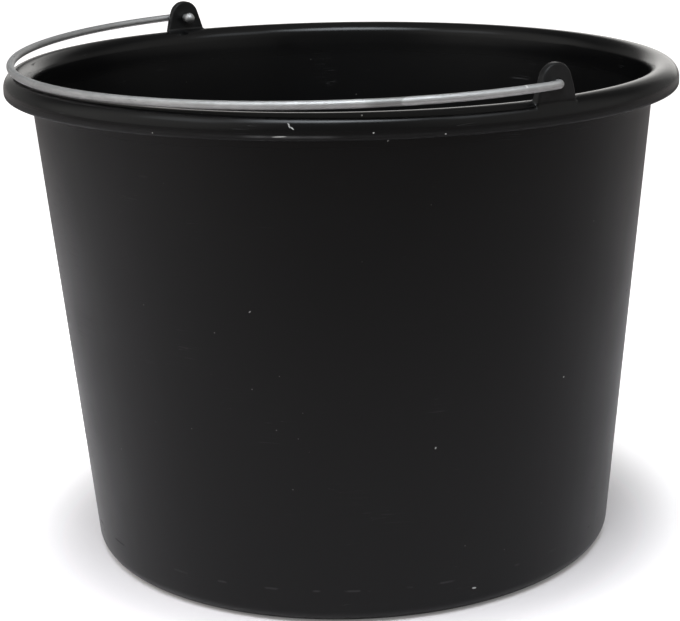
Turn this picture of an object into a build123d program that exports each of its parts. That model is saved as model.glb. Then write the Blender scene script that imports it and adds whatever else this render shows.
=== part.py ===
from build123d import *
import os
from math import asin, atan2, cos, degrees, hypot, sin, tan

# Builders bucket: a moulded plastic body with a folded rim and two ears, and a wire bail.
# Origin at the middle of the foot, +Z up, ears on the X axis, bail folded down towards -Y.
# Sizes are in millimetres.

# Wall, floor and foot
rim_diameter = 365.0
bucket_height = 268.0  # ground to the crest of the rim
base_diameter = 292.8
wall = 2.5
floor_thickness = 3.0
floor_corner_radius = 9.0
foot_corner_radius = 8.0
foot_ring_width = 12.0
foot_recess = 3.5  # height of the floor's underside inside the foot ring
recess_corner_radius = 1.5
gate_mark_diameter = 14.0
gate_mark_height = 0.8

# Folded rim
roll_radius = 8.0  # outside of the half round
skirt_drop = 4.3  # skirt below the half round
skirt_edge_radius = 1.8  # outside of the skirt's lower edge

# Ears and their holes
ear_width = 24.8  # at the crest
ear_height = 17.4  # above the crest
ear_top_radius = 9.0
ear_thickness = 4.5
ear_inset = 2.2  # outer face, in from the edge of the rim
ear_edge_radius = 1.0
pivot_height = 7.6  # bail axis above the crest
pin_clearance = 0.25  # around the wire in the ear's hole

# Wire bail
wire_diameter = 4.2
pin_reach = 4.6  # from the ear's inner face to the middle of the rounded head
head_diameter = 6.2  # rounded head that keeps the pin in the ear
elbow_radius = 2.8  # centre line
elbow_gap = 0.3  # from the ear's face to the start of the elbow
bow_overhang = 2.8  # middle of the bow beyond the crest, centre line
bow_side_tuck = 13.0  # how much tighter the bow bends beside the ears than its depth
rest_clearance = 0.3  # between the wire and the rim when folded down

# Lines and levels of the bucket
rim_radius = rim_diameter / 2
base_radius = base_diameter / 2
crest_radius = rim_radius - roll_radius
roll_level = bucket_height - roll_radius
skirt_bottom = roll_level - skirt_drop
skirt_inside = rim_radius - wall
hollow_radius = roll_radius - wall
foot_inside = base_radius - foot_ring_width
floor_top = foot_recess + floor_thickness
gate_level = foot_recess - gate_mark_height
gate_radius = gate_mark_diameter / 2

# The wall's outer face runs from the foot, tangent to the hollow inside the half round,
# and its inner face is tangent to the half round itself
crest_run = crest_radius - base_radius
wall_lean = atan2(crest_run, roll_level) - asin(hollow_radius / hypot(crest_run, roll_level))
wall_across = wall / cos(wall_lean)


def wall_outside(level):
    return base_radius + level * tan(wall_lean)


def wall_inside(level):
    return wall_outside(level) - wall_across


mouth_level = roll_level + roll_radius * sin(wall_lean)
hollow_sweep = 180 - degrees(wall_lean)

# Places on the ears
ear_outside = rim_radius - ear_inset
ear_inside = ear_outside - ear_thickness
ear_top = bucket_height + ear_height
pivot_level = bucket_height + pivot_height
hole_radius = wire_diameter / 2 + pin_clearance

# Arched ear on the outer half of the rim, with a hole for the end of the bail
with BuildPart() as ear:
    with BuildSketch(Plane.YZ.offset(ear_inside)):
        with Locations((0, ear_top - ear_top_radius)):
            Circle(ear_top_radius)
        with Locations((0, roll_level)):
            Rectangle(ear_width, roll_radius, align=(Align.CENTER, Align.MIN))
        make_hull()
    extrude(amount=ear_thickness)
    ear_outline = ear.edges().filter_by(Axis.X, reverse=True).filter_by(Axis.Y, reverse=True)
    fillet(ear_outline, ear_edge_radius)
    with Locations(Plane((ear_outside, 0, pivot_level), z_dir=(1, 0, 0))):
        Hole(hole_radius, depth=ear_thickness)

with BuildPart() as bucket_body:
    # Outer form, still filled: foot ring, leaning wall, skirt and half round
    with BuildSketch(Plane.XZ):
        with BuildLine():
            gate_step = Polyline((0, gate_level), (gate_radius, gate_level), (gate_radius, foot_recess))
            underside = FilletPolyline(
                gate_step @ 1,
                (foot_inside, foot_recess),
                (foot_inside, 0),
                (base_radius, 0),
                (wall_outside(skirt_bottom), skirt_bottom),
                radius=[recess_corner_radius, recess_corner_radius, foot_corner_radius],
            )
            FilletPolyline(
                underside @ 1,
                (rim_radius, skirt_bottom),
                (rim_radius, roll_level),
                radius=skirt_edge_radius,
            )
            roll = CenterArc((crest_radius, roll_level), roll_radius, 0, hollow_sweep)
            Polyline(roll @ 1, (0, mouth_level), gate_step @ 0)
        make_face()
    revolve(axis=Axis.Z)
    # An ear on each side
    add(ear.part)
    mirror(ear.part, about=Plane.YZ)
    # Hollow under the rim
    with BuildSketch(Plane.XZ):
        with BuildLine():
            hollow = CenterArc((crest_radius, roll_level), hollow_radius, 0, hollow_sweep)
            Polyline(
                hollow @ 1,
                (wall_outside(skirt_bottom), skirt_bottom),
                (skirt_inside, skirt_bottom),
                hollow @ 0,
            )
        make_face()
    revolve(axis=Axis.Z, mode=Mode.SUBTRACT)
    # Inside of the bucket
    with BuildSketch(Plane.XZ):
        with BuildLine():
            inside = FilletPolyline(
                (0, floor_top),
                (wall_inside(floor_top), floor_top),
                (wall_inside(mouth_level), mouth_level),
                radius=floor_corner_radius,
            )
            Polyline(inside @ 1, (0, mouth_level), inside @ 0)
        make_face()
    revolve(axis=Axis.Z, mode=Mode.SUBTRACT)
bucket_body.part.label = "bucket_body"

# Bail: pin, elbow, side of the bow and front of the bow, then the same back to the other pin
pin_end = ear_inside - pin_reach
elbow_start = ear_outside + elbow_gap
bow_half_width = elbow_start + elbow_radius
bail_reach = crest_radius + bow_overhang
bow_depth = bail_reach - elbow_radius
bow_side_radius = bow_depth - bow_side_tuck
side_centre = bow_half_width - bow_side_radius
front_radius = (side_centre**2 + bow_depth**2 - bow_side_radius**2) / (2 * bow_side_tuck)
front_centre = bail_reach - front_radius
side_turn = degrees(atan2(elbow_radius - front_centre, side_centre))
front_turn = 180 - 2 * side_turn
rest_drop = pivot_height - wire_diameter / 2 - rest_clearance
rest_tilt = asin(rest_drop / bail_reach)
bail_plane = Plane((0, 0, pivot_level), x_dir=(1, 0, 0), z_dir=(0, sin(rest_tilt), -cos(rest_tilt)))

with BuildPart() as wire_bail:
    with BuildLine(bail_plane) as bail_path:
        Line((pin_end, 0), (elbow_start, 0))
        CenterArc((elbow_start, elbow_radius), elbow_radius, -90, 90)
        CenterArc((side_centre, elbow_radius), bow_side_radius, 0, side_turn)
        CenterArc((0, front_centre), front_radius, side_turn, front_turn)
        CenterArc((-side_centre, elbow_radius), bow_side_radius, 180 - side_turn, side_turn)
        CenterArc((-elbow_start, elbow_radius), elbow_radius, 180, 90)
        Line((-elbow_start, 0), (-pin_end, 0))
    with BuildSketch(Plane((pin_end, 0, pivot_level), z_dir=(1, 0, 0))):
        Circle(wire_diameter / 2)
    sweep(path=bail_path.line)
    with Locations((pin_end, 0, pivot_level), (-pin_end, 0, pivot_level)):
        Sphere(head_diameter / 2)
wire_bail.part.label = "wire_bail"

os.makedirs("parts", exist_ok=True)
export_step(bucket_body.part, "parts/bucket_body.step")
export_step(wire_bail.part, "parts/wire_bail.step")
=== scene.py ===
from math import acos, asin, atan2, ceil, cos, hypot, pi, radians, sin, sqrt, tan

import bmesh
import bpy
from mathutils import Matrix, Vector


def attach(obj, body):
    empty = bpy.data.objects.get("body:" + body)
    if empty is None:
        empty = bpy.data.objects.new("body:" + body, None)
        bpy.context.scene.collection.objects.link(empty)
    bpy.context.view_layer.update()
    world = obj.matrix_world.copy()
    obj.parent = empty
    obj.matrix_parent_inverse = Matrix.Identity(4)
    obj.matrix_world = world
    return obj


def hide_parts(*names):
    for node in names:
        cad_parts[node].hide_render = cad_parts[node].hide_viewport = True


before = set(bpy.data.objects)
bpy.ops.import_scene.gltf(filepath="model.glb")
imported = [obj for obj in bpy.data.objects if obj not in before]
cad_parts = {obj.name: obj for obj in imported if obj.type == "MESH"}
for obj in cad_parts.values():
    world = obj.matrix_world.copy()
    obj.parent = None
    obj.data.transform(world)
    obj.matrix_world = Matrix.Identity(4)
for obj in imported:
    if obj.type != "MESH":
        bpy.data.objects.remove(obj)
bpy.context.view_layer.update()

scene = bpy.context.scene
scene.view_settings.view_transform = "Standard"
print("frame loaded:", ", ".join(sorted(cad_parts)))


def meshObject(name, bm):
    bmesh.ops.recalc_face_normals(bm, faces=bm.faces)
    mesh = bpy.data.meshes.new(name)
    bm.to_mesh(mesh)
    bm.free()
    thing = bpy.data.objects.new(name, mesh)
    scene.collection.objects.link(thing)
    return thing


def smoothShade(thing, sharpAngle):
    mesh = thing.data
    mesh.polygons.foreach_set("use_smooth", [True] * len(mesh.polygons))
    mesh.set_sharp_from_angle(angle=sharpAngle)


def roundedProfile(corners, arcStep, rowLength, fewestSteps=3):
    # corners are (radius, height, rounding); returns the rounded run with rows on its straights
    run = []
    for index, (r, z, rounding) in enumerate(corners):
        here = Vector((r, z))
        if rounding == 0:
            run.append(here)
            continue
        back = (Vector(corners[index - 1][:2]) - here).normalized()
        ahead = (Vector(corners[index + 1][:2]) - here).normalized()
        half = back.angle(ahead) / 2
        centre = here + (back + ahead).normalized() * rounding / sin(half)
        arm = here + back * rounding / tan(half) - centre
        turn = pi - 2 * half
        if arm.x * (ahead.y - back.y) - arm.y * (ahead.x - back.x) < 0:
            turn = -turn
        steps = max(fewestSteps, ceil(abs(turn) / arcStep))
        for step in range(steps + 1):
            run.append(centre + Matrix.Rotation(turn * step / steps, 2) @ arm)
    rows = [run[0]]
    for point in run[1:]:
        gap = (point - rows[-1]).length
        count = max(1, ceil(gap / rowLength))
        start = rows[-1]
        rows += [start.lerp(point, k / count) for k in range(1, count + 1)]
    return rows


def lathe(profile, segments, place=Matrix.Identity(4), onAxis=1e-7):
    # turns a run of (radius, height) points round the local Z axis
    bm = bmesh.new()
    rings = []
    for r, z in profile:
        if r < onAxis:
            rings.append([bm.verts.new(place @ Vector((0, 0, z)))])
            continue
        ring = []
        for k in range(segments):
            angle = 2 * pi * k / segments
            ring.append(bm.verts.new(place @ Vector((r * cos(angle), r * sin(angle), z))))
        rings.append(ring)
    for lower, upper in zip(rings, rings[1:]):
        for k in range(segments):
            after = (k + 1) % segments
            corners = [lower[k % len(lower)], lower[after % len(lower)]]
            corners += [upper[after % len(upper)], upper[k % len(upper)]]
            corners = list(dict.fromkeys(corners))
            if len(corners) > 2:
                bm.faces.new(corners)
    return bm


def combine(body, tool, operation):
    # joins the tool to the body or cuts it out, and uses the tool up
    cutter = body.modifiers.new("combine", "BOOLEAN")
    cutter.object = tool
    cutter.operation = operation
    cutter.solver = "MANIFOLD"
    depsgraph = bpy.context.evaluated_depsgraph_get()
    mesh = bpy.data.meshes.new_from_object(body.evaluated_get(depsgraph))
    body.modifiers.remove(cutter)
    old = body.data
    body.data = mesh
    bpy.data.meshes.remove(old)
    bpy.data.meshes.remove(tool.data)


shellForm = {
    "rimRadius": 0.1825,
    "crestHeight": 0.268,
    "footRadius": 0.1464,
    "wall": 0.0025,
    "rollRadius": 0.008,  # the half round of the folded rim
    "skirtDrop": 0.0043,  # below the half round
    "skirtEdge": 0.00205,  # rounding of its lower edge, outside and inside
    "skirtLip": 0.0004,
    "floorTop": 0.0065,
    "floorCorner": 0.009,
    "footCorner": 0.008,
    "footRing": 0.012,
    "footRecess": 0.0035,  # the floor's underside inside the ring
    "recessCorner": 0.0015,
    "gateRadius": 0.007,  # moulding mark under the floor
    "gateDrop": 0.0008,
    "gateCorner": 0.0003,
    "segments": 512,
    "arcStep": radians(6),
    "rowLength": 0.006,  # longest row on a straight
    "sharpAngle": radians(32),
}


def shellProfile(form):
    rollLevel = form["crestHeight"] - form["rollRadius"]
    crestRadius = form["rimRadius"] - form["rollRadius"]
    hollow = form["rollRadius"] - form["wall"]
    hollowTop = rollLevel + hollow
    run = crestRadius - form["footRadius"]
    lean = atan2(run, rollLevel) - asin(hollow / hypot(run, rollLevel))
    across = form["wall"] / cos(lean)

    def outside(level):
        return form["footRadius"] + level * tan(lean)

    skirtBottom = rollLevel - form["skirtDrop"]
    skirtInside = form["rimRadius"] - form["wall"]
    footInside = form["footRadius"] - form["footRing"]
    gateLevel = form["footRecess"] - form["gateDrop"]
    corners = [
        (0, gateLevel, 0),
        (form["gateRadius"], gateLevel, form["gateCorner"]),
        (form["gateRadius"], form["footRecess"], form["gateCorner"]),
        (footInside, form["footRecess"], form["recessCorner"]),
        (footInside, 0, form["recessCorner"]),
        (form["footRadius"], 0, form["footCorner"]),
        (outside(hollowTop), hollowTop, hollow),
        (skirtInside, hollowTop, hollow),
        (skirtInside, skirtBottom, form["skirtLip"]),
        (form["rimRadius"], skirtBottom, form["skirtEdge"]),
        (form["rimRadius"], form["crestHeight"], form["rollRadius"]),
        (outside(form["crestHeight"]) - across, form["crestHeight"], form["rollRadius"]),
        (outside(form["floorTop"]) - across, form["floorTop"], form["floorCorner"]),
        (0, form["floorTop"], 0),
    ]
    return roundedProfile(corners, form["arcStep"], form["rowLength"])


bucket = meshObject("bucketMoulding", lathe(shellProfile(shellForm), shellForm["segments"]))
print("bucket shell:", len(bucket.data.polygons), "faces")


earForm = {
    "width": 0.0248,
    "height": 0.0174,
    "topRadius": 0.009,
    "thickness": 0.0045,
    "inset": 0.0022,  # outer face, in from the edge of the rim
    "edge": 0.001,
    "footFlare": 0.0011,  # how the foot widens into the rim, sideways and on its faces
    "faceFlare": 0.0012,
    "rootDepth": 0.0012,
    "settleBelow": (0.001, 0.006),  # heights: follows the rim's round fully, and not at all
    "columns": 26,
    "leanSteps": 16,
    "leanSpacing": 1.5,  # rows crowd towards the foot
    "archSteps": 22,
    "edgeSteps": 5,
    "pivotHeight": 0.0076,  # the bail's axis over the crest
    "holeRadius": 0.00235,
    "holeLip": 0.0003,
    "holeSegments": 64,
}


def rimSurface(radius):
    # height of the half round's skin at a distance from the bucket's axis
    offset = radius - (shellForm["rimRadius"] - shellForm["rollRadius"])
    level = shellForm["crestHeight"] - shellForm["rollRadius"]
    return level + sqrt(max(0.0, shellForm["rollRadius"] ** 2 - offset**2))


def earOutline(form):
    # half of the arch as (half width, height over the crest, normal), from the root to the top
    halfWidth = form["width"] / 2
    centre = form["height"] - form["topRadius"]
    toFoot = atan2(-centre, halfWidth)
    touch = toFoot + acos(form["topRadius"] / hypot(halfWidth, centre))
    root = form["rootDepth"]
    side = [(halfWidth, -root, 0.0), (halfWidth, -root / 2, 0.0), (halfWidth, 0.0, touch / 2)]
    touchPoint = (form["topRadius"] * cos(touch), centre + form["topRadius"] * sin(touch))
    for k in range(1, form["leanSteps"] + 1):
        part = (k / form["leanSteps"]) ** form["leanSpacing"]
        y = halfWidth + (touchPoint[0] - halfWidth) * part
        side.append((y, touchPoint[1] * part, touch))
    for k in range(1, form["archSteps"] + 1):
        angle = touch + (pi / 2 - touch) * k / form["archSteps"]
        side.append((form["topRadius"] * cos(angle), centre + form["topRadius"] * sin(angle), angle))
    return side


def earPlate(form):
    crest = shellForm["crestHeight"]
    outer = shellForm["rimRadius"] - form["inset"]
    inner = outer - form["thickness"]
    edge = form["edge"]
    bm = bmesh.new()

    def flare(reach, height):
        rise = min(max(height, 0.0), reach)
        return reach - sqrt(reach**2 - (reach - rise) ** 2)

    def settle(x, y, height, outX, outY):
        x += outX * flare(form["faceFlare"], height)
        y += outY * flare(form["footFlare"], height)
        full, none = form["settleBelow"]
        fade = min(1.0, max(0.0, (none - height) / (none - full)))
        fade = fade * fade * (3 - 2 * fade)
        return bm.verts.new((x, y, crest + height + (rimSurface(hypot(x, y)) - crest) * fade))

    half = earOutline(form)
    outline = half + [(-y, z, pi - normal) for y, z, normal in reversed(half[:-1])]
    # across the thickness: (inset from the outline, x, outward x, outward along the outline)
    section = []
    for k in range(form["edgeSteps"] + 1):
        angle = pi / 2 * k / form["edgeSteps"]
        section.append((edge * (1 - sin(angle)), outer - edge * (1 - cos(angle)), cos(angle), sin(angle)))
    section += [(inset, inner + outer - x, -outX, out) for inset, x, outX, out in reversed(section)]
    strip = []
    for y, height, normal in outline:
        across = []
        for inset, x, outX, out in section:
            place = (x, y - cos(normal) * inset, height - sin(normal) * inset)
            across.append(settle(*place, outX, out * (1 if cos(normal) > 0 else -1)))
        strip.append(across)
    for low, high in zip(strip, strip[1:]):
        for k in range(len(section) - 1):
            bm.faces.new((low[k], low[k + 1], high[k + 1], high[k]))
    # the two faces, row by row up to the top of the arch
    for column, x, outX in ((0, outer, 1.0), (-1, inner, -1.0)):
        last = None
        for row in range(len(half)):
            right = strip[row][column]
            left = strip[-1 - row][column]
            line = [right]
            if right is not left:
                y, height, normal = half[row]
                reach = y - cos(normal) * edge
                height -= sin(normal) * edge
                for k in range(1, form["columns"]):
                    line.append(settle(x, reach * (1 - 2 * k / form["columns"]), height, outX, 0.0))
                line.append(left)
            if last:
                end = len(line) - 1
                for k in range(len(last) - 1):
                    corners = [last[k], last[k + 1], line[min(k + 1, end)], line[min(k, end)]]
                    bm.faces.new(list(dict.fromkeys(corners)))
            last = line
    bmesh.ops.holes_fill(bm, edges=[e for e in bm.edges if e.is_boundary])
    return bm


def earHole(form):
    # through the ear, with a slightly broken edge on both faces
    radius, lip, depth = form["holeRadius"], form["holeLip"], form["thickness"]
    half = [(0, lip), (radius + 2 * lip, lip), (radius + lip, 0), (radius, -lip)]
    return [Vector(point) for point in half + [(r, -depth - z) for r, z in reversed(half)]]


pivotLevel = shellForm["crestHeight"] + earForm["pivotHeight"]
earOuter = shellForm["rimRadius"] - earForm["inset"]
earInner = earOuter - earForm["thickness"]
for turn in (0, pi):
    turned = Matrix.Rotation(turn, 4, "Z")
    outward = turned @ Matrix.Translation((earOuter, 0, pivotLevel)) @ Matrix.Rotation(pi / 2, 4, "Y")
    plate = earPlate(earForm)
    bmesh.ops.transform(plate, matrix=turned, verts=plate.verts)
    ear = meshObject("ear", plate)
    hole = meshObject("hole", lathe(earHole(earForm), earForm["holeSegments"], outward))
    combine(ear, hole, "DIFFERENCE")
    combine(bucket, ear, "UNION")
smoothShade(bucket, shellForm["sharpAngle"])
print("bucket with its ears:", len(bucket.data.polygons), "faces")


bailForm = {
    "wireRadius": 0.0021,
    "pinReach": 0.0046,  # from the ear's inner face to the middle of the head
    "headRadius": 0.0031,
    "headNeck": 0.0006,  # fillet between the head and the wire
    "headSteps": 14,
    "neckSteps": 5,
    "elbowRadius": 0.0028,
    "elbowGap": 0.0003,  # from the ear's outer face to the bend
    "overhang": 0.0028,  # middle of the bow beyond the crest
    "sideTuck": 0.013,  # how much tighter the bow bends beside the ears than its depth
    "restClearance": 0.0003,  # over the rim when folded down
    "around": 32,
    "step": 0.0022,
    "fewestSteps": 10,
    "sharpAngle": radians(40),
}


def pinHead(form):
    # the pin's rounded head as (distance along the pin, radius), from its tip to the plain wire
    head, neck, wire = form["headRadius"], form["headNeck"], form["wireRadius"]
    neckAt = sqrt((head + neck) ** 2 - (wire + neck) ** 2)
    meet = atan2(wire + neck, neckAt)
    run = []
    for k in range(form["headSteps"] + 1):
        angle = pi + (meet - pi) * k / form["headSteps"]
        run.append((head * cos(angle), head * sin(angle)))
    for k in range(1, form["neckSteps"] + 1):
        angle = meet + pi + (pi / 2 - meet) * k / form["neckSteps"]
        run.append((neckAt + neck * cos(angle), wire + neck + neck * sin(angle)))
    return run


def bailPath(form):
    # centre line in the bail's own plane: along X, out from the axis, and the wire's radius there
    pinEnd = earInner - form["pinReach"]
    elbowStart = earOuter + form["elbowGap"]
    elbow = form["elbowRadius"]
    reach = shellForm["rimRadius"] - shellForm["rollRadius"] + form["overhang"]
    depth = reach - elbow
    sideRadius = depth - form["sideTuck"]
    sideCentre = elbowStart + elbow - sideRadius
    frontRadius = (sideCentre**2 + depth**2 - sideRadius**2) / (2 * form["sideTuck"])
    frontCentre = reach - frontRadius
    sideTurn = atan2(elbow - frontCentre, sideCentre)
    wire = form["wireRadius"]
    head = [(pinEnd + offset, 0.0, radius) for offset, radius in pinHead(form)]
    path = list(head)

    def arc(cx, cy, radius, start, turn):
        count = max(form["fewestSteps"], ceil(abs(turn) * radius / form["step"]))
        for k in range(count):
            angle = start + turn * k / count
            path.append((cx + radius * cos(angle), cy + radius * sin(angle), wire))

    path.append((earInner + earForm["thickness"] / 2, 0.0, wire))
    arc(elbowStart, elbow, elbow, -pi / 2, pi / 2)
    arc(sideCentre, elbow, sideRadius, 0, sideTurn)
    arc(0, frontCentre, frontRadius, sideTurn, pi - 2 * sideTurn)
    arc(-sideCentre, elbow, sideRadius, pi - sideTurn, sideTurn)
    arc(-elbowStart, elbow, elbow, pi, pi / 2)
    path.append((-elbowStart, 0.0, wire))
    path.append((-earInner - earForm["thickness"] / 2, 0.0, wire))
    path += [(-x, y, radius) for x, y, radius in reversed(head)]
    drop = earForm["pivotHeight"] - wire - form["restClearance"]
    return path, asin(drop / reach)


def bailWire(form):
    path, tilt = bailPath(form)
    outAxis = Vector((0, -cos(tilt), -sin(tilt)))
    upAxis = Vector((0, -sin(tilt), cos(tilt)))
    points = [Vector((along, 0, pivotLevel)) + outAxis * out for along, out, _ in path]
    last = len(points) - 1
    bm = bmesh.new()
    uv = bm.loops.layers.uv.new("wire")
    rings, lengths = [], []
    length = 0.0
    for k, point in enumerate(points):
        ahead = (points[min(k + 1, last)] - points[max(k - 1, 0)]).normalized()
        side = ahead.cross(upAxis).normalized()
        if k:
            length += (point - points[k - 1]).length
        lengths.append(length)
        if k in (0, last):
            rings.append([bm.verts.new(point)] * form["around"])
            continue
        ring = []
        for j in range(form["around"]):
            angle = 2 * pi * j / form["around"]
            ring.append(bm.verts.new(point + (side * cos(angle) + upAxis * sin(angle)) * path[k][2]))
        rings.append(ring)
    for k in range(last):
        for j in range(form["around"]):
            after = (j + 1) % form["around"]
            turns = {rings[k][j]: (k, j), rings[k][after]: (k, j + 1)}
            turns.update({rings[k + 1][after]: (k + 1, j + 1), rings[k + 1][j]: (k + 1, j)})
            face = bm.faces.new(list(turns))
            for loop in face.loops:
                at, turn = turns[loop.vert]
                loop[uv].uv = (lengths[at], turn / form["around"])
    return bm


bail = meshObject("bailWire", bailWire(bailForm))
smoothShade(bail, bailForm["sharpAngle"])
print("bail:", len(bail.data.polygons), "faces")


def newFinish(name):
    material = bpy.data.materials.new(name)
    material.use_nodes = True
    tree = material.node_tree
    return material, tree, tree.nodes["Principled BSDF"]


def addNode(tree, kind, inputs=None, **settings):
    node = tree.nodes.new(kind)
    for key, value in settings.items():
        setattr(node, key, value)
    for key, value in (inputs or {}).items():
        if isinstance(value, bpy.types.NodeSocket):
            tree.links.new(value, node.inputs[key])
        else:
            node.inputs[key].default_value = value
    return node


def sums(tree, operation, first, second=0.0):
    return addNode(tree, "ShaderNodeMath", {0: first, 1: second}, operation=operation).outputs[0]


def times(tree, first, second):
    return sums(tree, "MULTIPLY", first, second)


def apart(tree, first, second):
    return sums(tree, "ABSOLUTE", sums(tree, "SUBTRACT", first, second))


def strongest(tree, masks):
    found = masks[0]
    for mask in masks[1:]:
        found = sums(tree, "MAXIMUM", found, mask)
    return found


def lengthOf(tree, vector):
    return addNode(tree, "ShaderNodeVectorMath", {0: vector}, operation="LENGTH").outputs["Value"]


def ranged(tree, value, low, high, toLow=0.0, toHigh=1.0):
    inputs = {"Value": value, "From Min": low, "From Max": high, "To Min": toLow, "To Max": toHigh}
    return addNode(tree, "ShaderNodeMapRange", inputs, interpolation_type="SMOOTHSTEP").outputs[0]


def blendColours(tree, amount, first, second):
    inputs = {0: amount, 6: first, 7: second}
    return addNode(tree, "ShaderNodeMix", inputs, data_type="RGBA").outputs[2]


def noise(tree, vector, scale, detail=2.0):
    inputs = {"Vector": vector, "Scale": scale, "Detail": detail}
    return addNode(tree, "ShaderNodeTexNoise", inputs).outputs["Fac"]


def patches(tree, vector, form):
    # noise of a scale and detail, cut to a range, and what the range's ends give
    scale, detail, *levels = form
    return ranged(tree, noise(tree, vector, scale, detail), *levels)


def unevenSkin(tree, shader, height, strength, distance):
    inputs = {"Height": height, "Strength": strength, "Distance": distance}
    bump = addNode(tree, "ShaderNodeBump", inputs)
    tree.links.new(bump.outputs[0], shader.inputs["Normal"])


plasticLook = {
    "colour": (0.0030, 0.0030, 0.0032, 1),
    "scuffAndEarLightColour": (0.045, 0.045, 0.046, 1),
    "rubbedEdgeAndHighlightColour": (0.065, 0.065, 0.066, 1),
    "paleColour": (0.42, 0.42, 0.41, 1),
    "ior": 1.32,
    "wallSheen": (0.30, 0.38),  # roughness of the wall and of the rim
    "rimSheen": (0.16, 0.22),
    "rimFrom": (0.246, 0.255),  # heights between the two
    "sheenDrift": (13.0, 4.0, 0.3, 0.7),  # noise: scale, detail, from and to, as in all patches
    "grain": (1100.0, 3.0, 0.25),  # noise: scale, detail, height
    "rippleScale": 45.0,
    "bump": (0.35, 0.0001),  # strength, distance
    "wrapRadius": 0.165,  # the wall is unrolled at this radius
    "scratches": (  # tilt, stretch along and across, line width, patch scale, where they gather
        (12, 9.0, 420.0, 0.006, 31.0, (0.62, 0.70)),
        (-38, 14.0, 520.0, 0.005, 27.0, (0.64, 0.72)),
        (74, 11.0, 460.0, 0.006, 23.0, (0.63, 0.71)),
    ),
    "scuffShare": 0.6,  # how far scuffs and the ears' painted light take on their colour
    "scuffRough": 0.3,
    "scuffDepth": -0.3,
    "speckScale": 95.0,
    "speckSize": (0.018, 0.042),
    "speckLevel": 0.5,
    "speckPatches": (16.0, 2.0, 0.48, 0.74),
    "stackLine": 0.019,  # height of the rubbed line that a nested bucket leaves
    "stackWidth": (0.0002, 0.0008),
    "stackPatches": (70.0, 3.0, 0.52, 0.62),
    "footWear": (0.0015, 0.005),  # heights: worn and no longer worn
    "footPatches": (240.0, 5.0, 0.48, 0.66),
    "skirtLine": 0.2580,  # height of the skirt's pale edge line, part wear and part painted highlight
    "skirtWidth": (0.0001, 0.0009),
    "skirtFrom": 0.179,  # only outside this radius
    "skirtStretch": (-0.1195, 0.012, 0.024, 0.12),  # palest stretch of the edge line: middle, reach, level elsewhere
    "skirtPatches": (90.0, 3.0, 0.3, 0.6, 0.4, 1.0),
    "skirtDull": (0.2562, 0.2612, 0.32),  # lower part of the skirt, and how much rougher it is
    "earHalf": (0.0135, 0.0165),  # the ears, dulled by the bail and lightened with painted light
    "earFrom": (0.2665, 0.2690),
    "earPaintedLightPatches": (180.0, 4.0, 0.3, 0.6, 0.05, 0.3),
    "earRough": 0.14,
    "markDepth": 0.002,  # how deep a nick reaches into the wall
    "markCore": 0.55,  # share of a nick that is fully pale
    "marks": (  # place on the skin, length, width, tilt from level
        ((0.13563, -0.12109, 0.26323), 0.0031, 0.0008, -62),
        ((0.13693, -0.12025, 0.26203), 0.0025, 0.0008, -38),
        ((0.15846, -0.09053, 0.25952), 0.0012, 0.0009, 20),
        ((0.14985, -0.07643, 0.25330), 0.0021, 0.0007, 58),
        ((0.17231, -0.06012, 0.25741), 0.0011, 0.0009, 0),
        ((0.08303, -0.16252, 0.25742), 0.0009, 0.0007, 0),
        ((0.15250, -0.09266, 0.26696), 0.0010, 0.0007, 10),
        ((0.13304, -0.12493, 0.25815), 0.0084, 0.0007, 2),
        ((0.14548, -0.02423, 0.01245), 0.0030, 0.0012, -8),
        ((0.10127, -0.12524, 0.16884), 0.0016, 0.0007, 40),
        ((0.14673, -0.04891, 0.09520), 0.0015, 0.0010, 70),
        ((0.15422, 0.02781, 0.11866), 0.0013, 0.0010, 10),
    ),
}


def scratchLayer(tree, wrap, layer):
    tilt, along, across, width, patch, gather = layer
    inputs = {"Vector": wrap, "Rotation": (0, 0, radians(tilt)), "Scale": (along, across, 1.0)}
    turned = addNode(tree, "ShaderNodeMapping", inputs).outputs[0]
    # a hairline runs where the stretched noise crosses its middle
    line = ranged(tree, apart(tree, noise(tree, turned, 1.0, 1.0), 0.5), 0.0, width, 1.0, 0.0)
    return times(tree, line, ranged(tree, noise(tree, wrap, patch), *gather))


def markOn(tree, place, look, mark):
    at, length, width, tilt = mark
    around = atan2(at[1], at[0])
    normal = Vector((cos(around), sin(around), 0))
    level = Vector((-sin(around), cos(around), 0))
    along = level * cos(radians(tilt)) + Vector((0, 0, sin(radians(tilt))))
    turn = Matrix((along, normal.cross(along), normal)).transposed().to_euler()
    size = (length / 2, width / 2, look["markDepth"])
    inputs = {"Vector": place, "Location": at, "Rotation": turn, "Scale": size}
    local = addNode(tree, "ShaderNodeMapping", inputs, vector_type="TEXTURE").outputs[0]
    return ranged(tree, lengthOf(tree, local), look["markCore"], 1.0, 1.0, 0.0)


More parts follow.
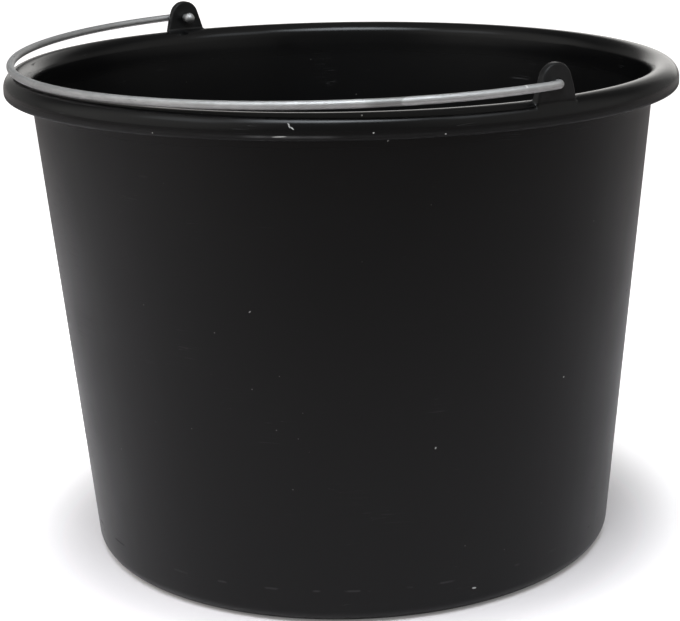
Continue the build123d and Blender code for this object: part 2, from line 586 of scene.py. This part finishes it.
def bucketPlastic(look):
    material, tree, shader = newFinish("blackPlastic")
    place = addNode(tree, "ShaderNodeTexCoord").outputs["Object"]
    x, y, z = addNode(tree, "ShaderNodeSeparateXYZ", {0: place}).outputs
    around = times(tree, sums(tree, "ARCTAN2", y, x), look["wrapRadius"])
    wrap = addNode(tree, "ShaderNodeCombineXYZ", {0: around, 1: z}).outputs[0]
    # hairline scratches in loose groups
    scuffsAndEarLight = [scratchLayer(tree, wrap, layer) for layer in look["scratches"]]
    # rubbed, broken line near the foot, and wear on the foot's edge
    stack = ranged(tree, apart(tree, z, look["stackLine"]), *look["stackWidth"], 1.0, 0.0)
    scuffsAndEarLight.append(times(tree, stack, patches(tree, wrap, look["stackPatches"])))
    foot = ranged(tree, z, *look["footWear"], 1.0, 0.0)
    scuffsAndEarLight.append(times(tree, foot, patches(tree, place, look["footPatches"])))
    # the ears, dulled by the bail, and lighter in patches: painted light
    atEar = ranged(tree, sums(tree, "ABSOLUTE", y), *look["earHalf"], 1.0, 0.0)
    atEar = times(tree, atEar, ranged(tree, z, *look["earFrom"]))
    # painted light: the ears' faces lighter in patches
    scuffsAndEarLight.append(times(tree, atEar, patches(tree, place, look["earPaintedLightPatches"])))
    scuffsAndEarLight = strongest(tree, scuffsAndEarLight)
    # the skirt's lower edge, paler in stretches: part wear, part painted highlight
    flat = addNode(tree, "ShaderNodeVectorMath", {0: place, 1: (1, 1, 0)}, operation="MULTIPLY")
    radius = lengthOf(tree, flat.outputs[0])
    outside = sums(tree, "GREATER_THAN", radius, look["skirtFrom"])
    skirt = ranged(tree, apart(tree, z, look["skirtLine"]), *look["skirtWidth"], 1.0, 0.0)
    skirt = times(tree, skirt, outside)
    middle, mostTo, leastFrom, least = look["skirtStretch"]
    stretch = ranged(tree, apart(tree, around, middle), mostTo, leastFrom, 1.0, least)
    stretch = times(tree, stretch, patches(tree, wrap, look["skirtPatches"]))
    skirt = times(tree, skirt, stretch)
    # pale specks of dust and mortar, and the larger nicks
    cells = addNode(tree, "ShaderNodeTexVoronoi", {"Vector": place, "Scale": look["speckScale"]})
    dust = ranged(tree, cells.outputs["Distance"], *look["speckSize"], look["speckLevel"], 0.0)
    dust = times(tree, dust, patches(tree, place, look["speckPatches"]))
    pale = strongest(tree, [dust] + [markOn(tree, place, look, mark) for mark in look["marks"]])
    scuffAndEarLightAmount = times(tree, scuffsAndEarLight, look["scuffShare"])
    colour = blendColours(tree, scuffAndEarLightAmount, look["colour"], look["scuffAndEarLightColour"])
    # paler skirt edge: wear, and a painted highlight along it
    colour = blendColours(tree, skirt, colour, look["rubbedEdgeAndHighlightColour"])
    colour = blendColours(tree, pale, colour, look["paleColour"])
    tree.links.new(colour, shader.inputs["Base Color"])
    # satin skin, a little uneven, rougher under scuffs, specks, nicks and the ears' painted light
    driftScale, driftDetail, *driftRange = look["sheenDrift"]
    drift = noise(tree, place, driftScale, driftDetail)
    wallSheen = ranged(tree, drift, *driftRange, *look["wallSheen"])
    rimSheen = ranged(tree, drift, *driftRange, *look["rimSheen"])
    onRim = ranged(tree, z, *look["rimFrom"])
    rough = addNode(tree, "ShaderNodeMix", {0: onRim, 2: wallSheen, 3: rimSheen}).outputs[0]
    dullFrom, dullTo, dullness = look["skirtDull"]
    rougher = [
        times(tree, strongest(tree, [scuffsAndEarLight, pale]), look["scuffRough"]),
        times(tree, atEar, look["earRough"]),
        times(tree, ranged(tree, z, dullFrom, dullTo, dullness, 0.0), outside),
    ]
    for more in rougher:
        rough = sums(tree, "ADD", rough, more)
    tree.links.new(rough, shader.inputs["Roughness"])
    shader.inputs["IOR"].default_value = look["ior"]
    grainScale, grainDetail, grainHeight = look["grain"]
    grain = times(tree, noise(tree, place, grainScale, grainDetail), grainHeight)
    height = sums(tree, "ADD", grain, noise(tree, place, look["rippleScale"]))
    height = sums(tree, "ADD", height, times(tree, scuffsAndEarLight, look["scuffDepth"]))
    unevenSkin(tree, shader, height, *look["bump"])
    return material


wireLook = {
    "zinc": (0.56, 0.56, 0.56, 1),
    "dullZinc": (0.46, 0.46, 0.46, 1),
    "stain": (0.12, 0.115, 0.11, 1),
    "nickZinc": (0.74, 0.74, 0.73, 1),
    "rubbedZinc": (0.33, 0.33, 0.325, 1),
    "drawn": (14.0, 5.0, 5.0),  # streaks: stretch along the wire and across it, detail
    "spangle": (260.0, 1.2, 3.0),
    "blotch": (45.0, 0.5, 2.0),
    "stains": (120.0, 1.6, 4.0),
    "stainRange": (0.66, 0.76, 0.0, 0.6),
    "dullShares": (0.4, 0.3, 0.3),  # of drawn, spangle and blotch
    "dullRange": (0.4, 0.6),
    "roughness": (0.56, 0.60),
    "roughRange": (0.3, 0.7),
    "spangleHeight": 0.4,
    "bump": (0.035, 0.00006),  # strength, distance
    "rubbed": (0.093, 0.106, 0.117),  # along the wire from one end: slanting edge, then fading out
    "rubbedSlant": 0.0035,
    "rubbedSoft": 0.0006,
    "nick": (0.0355, 0.33),  # bright spot: along the wire and around it
    "nickLength": (0.0003, 0.0008),
    "nickTurn": (0.05, 0.1),
}


def bailZinc(look):
    material, tree, shader = newFinish("galvanisedWire")
    place = addNode(tree, "ShaderNodeTexCoord").outputs["UV"]
    along, around, _ = addNode(tree, "ShaderNodeSeparateXYZ", {0: place}).outputs
    angle = times(tree, around, 2 * pi)
    side = sums(tree, "COSINE", angle)
    up = sums(tree, "SINE", angle)
    ring = addNode(tree, "ShaderNodeCombineXYZ", {0: along, 1: side, 2: up}).outputs[0]

    def streaks(lengthwise, crosswise, detail):
        inputs = {"Vector": ring, "Scale": (lengthwise, crosswise, crosswise)}
        scaled = addNode(tree, "ShaderNodeMapping", inputs).outputs[0]
        return noise(tree, scaled, 1.0, detail)

    drawn = streaks(*look["drawn"])
    spangle = streaks(*look["spangle"])
    blotch = streaks(*look["blotch"])
    # bright and dull zinc
    ofDrawn, ofSpangle, ofBlotch = look["dullShares"]
    dull = sums(tree, "ADD", times(tree, spangle, ofSpangle), times(tree, blotch, ofBlotch))
    dull = sums(tree, "ADD", dull, times(tree, drawn, ofDrawn))
    dull = ranged(tree, dull, *look["dullRange"])
    colour = blendColours(tree, dull, look["zinc"], look["dullZinc"])
    # rubbed stretch with a slanting edge
    edge, fadeFrom, fadeTo = look["rubbed"]
    slant = sums(tree, "ADD", along, times(tree, side, look["rubbedSlant"]))
    rubbed = ranged(tree, slant, edge - look["rubbedSoft"], edge + look["rubbedSoft"])
    rubbed = times(tree, rubbed, ranged(tree, along, fadeFrom, fadeTo, 1.0, 0.0))
    colour = blendColours(tree, rubbed, colour, look["rubbedZinc"])
    # bright nick near one end, and stains
    nickAlong, nickAround = look["nick"]
    nick = ranged(tree, apart(tree, along, nickAlong), *look["nickLength"], 1.0, 0.0)
    nick = times(tree, nick, ranged(tree, apart(tree, around, nickAround), *look["nickTurn"], 1.0, 0.0))
    colour = blendColours(tree, nick, colour, look["nickZinc"])
    stains = ranged(tree, streaks(*look["stains"]), *look["stainRange"])
    colour = blendColours(tree, stains, colour, look["stain"])
    tree.links.new(colour, shader.inputs["Base Color"])
    shader.inputs["Metallic"].default_value = 1.0
    rough = ranged(tree, drawn, *look["roughRange"], *look["roughness"])
    tree.links.new(rough, shader.inputs["Roughness"])
    height = sums(tree, "ADD", drawn, times(tree, spangle, look["spangleHeight"]))
    unevenSkin(tree, shader, height, *look["bump"])
    return material


bucket.data.materials.clear()
bucket.data.materials.append(bucketPlastic(plasticLook))
bail.data.materials.append(bailZinc(wireLook))

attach(bucket, "bucket")
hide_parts("bucket_body")
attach(bail, "bail")
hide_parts("wire_bail")
print("finishes:", bucket.active_material.name, bail.active_material.name)


# a plain pale floor that shows white, and a dim sky with white behind the bucket
studio = {
    "floorRadius": 9.0,
    "floorSegments": 96,
    "floorColour": (0.745, 0.71, 0.72, 1),
    "floorRoughness": 0.9,
    "floorGloss": 0.1,
    "glow": (0.8, 0.9),  # near the bucket and far from it
    "glowReach": (0.2, 1.6),
    "paintedFootShadow": (0.145, 0.225, 0.15),  # glow dimmed close to the foot: a painted shadow ring round it
    "mirrorSide": (0.138, 0.247),  # the white that the bucket mirrors: half width beside it
    "mirrorFlare": 1.013,  # and how much wider each metre behind it
    "mirrorFront": (-0.12, 0.25),
    "mirrorLevel": 0.7,
    "worldColour": (1.0, 0.985, 0.955, 1),
    "backdrop": 1.05,  # what the camera sees above the floor
    "skyTurn": (-0.3, 0.5),
    "skyFront": 0.26,  # behind the camera
    "skyBack": 0.1,  # behind the bucket
    "zenith": 0.16,
    "zenithFrom": (0.7, 0.92),
    "horizon": 0.85,  # white band behind the bucket that it mirrors
    "horizonBand": (0.30, 0.58),
    "horizonTurn": 3,
    "horizonWidth": (0.88, 0.98),
    "lowSky": 0.14,  # behind the bucket, up to a third of the way
    "lowSkyBand": (0.2, 0.5),
    "lowSkyTurn": (-0.2, 0.2),
    "lobes": (  # turn from the camera's line, rise, level, width
        (-108, 25, 0.66, (0.62, 1.0)),
        (112, 25, 0.36, (0.62, 1.0)),
        (16, 16, 0.32, (0.93, 0.985)),
    ),
}

photoCamera = {
    "azimuth": 56.3,  # degrees, as the angles below
    "distance": 0.9872,
    "height": 0.4037,
    "pan": 3.0428,
    "pitch": 15.8185,
    "roll": 0.5613,
    "lens": 95.22,
    "shiftX": -0.15,
}

facing = radians(photoCamera["azimuth"])
aside = Matrix.Rotation(facing, 4, "Z")


def floorFinish(form):
    # local X is to the camera's right and local Y runs away from the camera
    material, tree, shader = newFinish("paleFloor")
    place = addNode(tree, "ShaderNodeTexCoord").outputs["Object"]
    right, away, _ = addNode(tree, "ShaderNodeSeparateXYZ", {0: place}).outputs
    shader.inputs["Base Color"].default_value = form["floorColour"]
    shader.inputs["Roughness"].default_value = form["floorRoughness"]
    shader.inputs["Specular IOR Level"].default_value = form["floorGloss"]
    shader.inputs["Emission Color"].default_value = (1, 1, 1, 1)
    fromFoot = lengthOf(tree, place)
    nearFoot, clearOfFoot, footLevel = form["paintedFootShadow"]
    glow = ranged(tree, fromFoot, *form["glowReach"], *form["glow"])
    # painted shadow: the glow dims in a ring round the foot
    glow = times(tree, glow, ranged(tree, fromFoot, nearFoot, clearOfFoot, footLevel, 1.0))
    # the bucket and its wire mirror the white under and behind them: reflections see the glow only on
    # this patch, a painted reflection
    flare = sums(tree, "ADD", times(tree, away, form["mirrorFlare"]), 1.0)
    sideways = sums(tree, "ABSOLUTE", sums(tree, "DIVIDE", right, flare))
    mirrored = ranged(tree, sideways, *form["mirrorSide"], form["mirrorLevel"], 0.0)
    mirrored = times(tree, mirrored, ranged(tree, away, *form["mirrorFront"]))
    ray = addNode(tree, "ShaderNodeLightPath").outputs
    seen = sums(tree, "MAXIMUM", ray["Is Glossy Ray"], ray["Is Transmission Ray"])
    seen = sums(tree, "MAXIMUM", times(tree, seen, mirrored), ray["Is Camera Ray"])
    tree.links.new(times(tree, seen, glow), shader.inputs["Emission Strength"])
    return material


floorMesh = bmesh.new()
floorSize = {"segments": studio["floorSegments"], "radius": studio["floorRadius"]}
bmesh.ops.create_circle(floorMesh, cap_ends=True, **floorSize)
floor = meshObject("floor", floorMesh)
floor.rotation_euler.z = facing
floor.data.materials.append(floorFinish(studio))

world = bpy.data.worlds.new("studio")
world.use_nodes = True
scene.world = world
tree = world.node_tree
background = tree.nodes["Background"]
looking = addNode(tree, "ShaderNodeTexCoord").outputs["Generated"]
upward = addNode(tree, "ShaderNodeSeparateXYZ", {0: looking}).outputs["Z"]


def facingTo(turn, rise):
    # how squarely a ray looks to a place in the sky, turned to the right from the camera's line
    turn, rise = radians(turn), radians(rise)
    toward = aside @ Vector((sin(turn) * cos(rise), cos(turn) * cos(rise), sin(rise)))
    inputs = {0: looking, 1: toward}
    return addNode(tree, "ShaderNodeVectorMath", inputs, operation="DOT_PRODUCT").outputs["Value"]


ahead = facingTo(0, 0)
sky = ranged(tree, ahead, *studio["skyTurn"], studio["skyFront"], studio["skyBack"])
sky = sums(tree, "ADD", sky, ranged(tree, upward, *studio["zenithFrom"], 0.0, studio["zenith"]))
lowSky = ranged(tree, upward, *studio["lowSkyBand"], studio["lowSky"], 0.0)
sky = sums(tree, "ADD", sky, times(tree, lowSky, ranged(tree, ahead, *studio["lowSkyTurn"])))
for turn, rise, level, width in studio["lobes"]:
    sky = sums(tree, "ADD", sky, ranged(tree, facingTo(turn, rise), *width, 0.0, level))
# the camera sees plain white above the floor, and the bucket mirrors the white behind it
whiteBand = ranged(tree, upward, *studio["horizonBand"], studio["horizon"], 0.0)
atBack = ranged(tree, facingTo(studio["horizonTurn"], 0), *studio["horizonWidth"])
ray = addNode(tree, "ShaderNodeLightPath").outputs
mirrored = sums(tree, "MAXIMUM", ray["Is Glossy Ray"], ray["Is Transmission Ray"])
sky = sums(tree, "ADD", sky, times(tree, mirrored, times(tree, whiteBand, atBack)))
shown = times(tree, ray["Is Camera Ray"], studio["backdrop"])
tree.links.new(sums(tree, "MAXIMUM", sky, shown), background.inputs["Strength"])
background.inputs["Color"].default_value = studio["worldColour"]


def softbox(name, form):
    lamp = bpy.data.lights.new(name, "AREA")
    lamp.shape = "RECTANGLE"
    lamp.size, lamp.size_y = form["size"]
    lamp.energy = form["power"]
    lamp.color = form["colour"]
    lamp.spread = radians(form["spread"])
    thing = bpy.data.objects.new(name, lamp)
    scene.collection.objects.link(thing)
    thing.location = aside @ Vector(form["place"])
    toAim = aside @ Vector(form["aim"]) - thing.location
    thing.rotation_euler = toAim.to_track_quat("-Z", "Y").to_euler()
    thing.visible_glossy = form["shows"]


daylight = (0.88, 0.94, 1.0)
plainWhite = (1.0, 1.0, 1.0)
# places are to the right of the camera's line, away from the camera, and up
lamps = {
    "window": {
        "place": (-0.2, -0.63, 1.59),
        "aim": (-0.14, 0.05, 0.2),
        "size": (1.46, 0.58),
        "power": 2.3,
        "colour": daylight,
        "spread": 50,
        "shows": True,
    },
    "windowWings": {
        "place": (-0.2, -0.62, 1.66),
        "aim": (-0.2, 0.05, 0.2),
        "size": (3.2, 0.6),
        "power": 0.95,
        "colour": daylight,
        "spread": 52,
        "shows": True,
    },
    "leftWing": {
        "place": (-1.2, -0.62, 1.6),
        "aim": (-0.05, 0.0, 0.25),
        "size": (0.9, 0.6),
        "power": 0.19,
        "colour": daylight,
        "spread": 56,
        "shows": True,
    },
    "rightWing": {
        "place": (0.96, -0.62, 1.6),
        "aim": (0.05, 0.0, 0.25),
        "size": (0.8, 0.6),
        "power": 0.22,
        "colour": daylight,
        "spread": 56,
        "shows": True,
    },
    "leftFill": {
        "place": (-1.0, -0.35, 0.9),
        "aim": (-0.5, -0.25, 0.0),
        "size": (0.5, 0.5),
        "power": 0.9,
        "colour": plainWhite,
        "spread": 90,
        "shows": False,
    },
    "frontFill": {
        "place": (0.0, -0.55, 0.6),
        "aim": (0.0, -0.27, 0.0),
        "size": (0.5, 0.2),
        "power": 0.09,
        "colour": plainWhite,
        "spread": 50,
        "shows": False,
    },
    "farFill": {
        "place": (-1.5, -0.9, 1.0),
        "aim": (-1.45, -0.85, 0.0),
        "size": (0.8, 0.8),
        "power": 2.0,
        "colour": plainWhite,
        "spread": 90,
        "shows": False,
    },
}
for name, lamp in lamps.items():
    softbox(name, lamp)

lens = bpy.data.cameras.new("photoCamera")
lens.lens = photoCamera["lens"]
lens.shift_x = photoCamera["shiftX"]
camera = bpy.data.objects.new("photoCamera", lens)
scene.collection.objects.link(camera)
camera.location = aside @ Vector((0, -photoCamera["distance"], photoCamera["height"]))
heading = Matrix.Rotation(facing - radians(photoCamera["pan"]), 3, "Z")
tilted = Matrix.Rotation(pi / 2 - radians(photoCamera["pitch"]), 3, "X")
rolled = Matrix.Rotation(-radians(photoCamera["roll"]), 3, "Z")
camera.rotation_euler = (heading @ tilted @ rolled).to_euler()
scene.camera = camera
print("studio ready")
